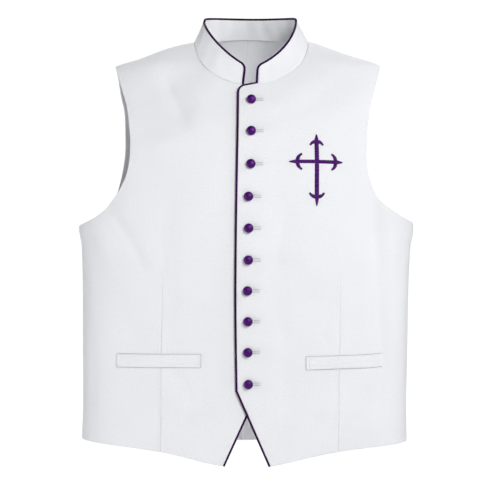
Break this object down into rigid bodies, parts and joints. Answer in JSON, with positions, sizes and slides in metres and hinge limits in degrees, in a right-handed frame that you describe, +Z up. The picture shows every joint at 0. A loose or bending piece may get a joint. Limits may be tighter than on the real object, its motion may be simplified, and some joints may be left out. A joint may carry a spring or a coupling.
{
  "type": "clergy vest",
  "caption": "Sleeveless front-buttoned white clergy vest with a stand collar, purple piping and covered buttons, pocket welts and an embroidered chest cross.",
  "frame": {"origin": "where the wearer's shoulders carry the vest: midway between the middles of the two shoulder seams", "axes": "+Z up the wearer's body, -Y out of the chest, +X to the wearer's left"},
  "size_m": [0.5339, 0.2496, 0.7099],
  "materials": {
    "white_cloth": "matt smooth weave",
    "purple_piping": "matt, with a slight sheen",
    "purple_button": "smooth, slightly glossy cloth cover",
    "purple_embroidery": "satin-stitched thread with a sheen"
  },
  "bodies": {
    "root": {"back_left": "white_cloth", "back_right": "white_cloth", "button_01": "purple_button", "button_02": "purple_button", "button_03": "purple_button", "button_04": "purple_button", "button_05": "purple_button", "button_06": "purple_button", "button_07": "purple_button", "button_08": "purple_button", "button_09": "purple_button", "button_10": "purple_button", "chest_cross": "purple_embroidery", "collar": "white_cloth", "front_left": "white_cloth", "front_right": "white_cloth", "piping_collar": "purple_piping", "piping_left_front": "purple_piping", "piping_right_front": "purple_piping", "pocket_welt_left": "white_cloth", "pocket_welt_right": "white_cloth"}
  },
  "joints": []
}
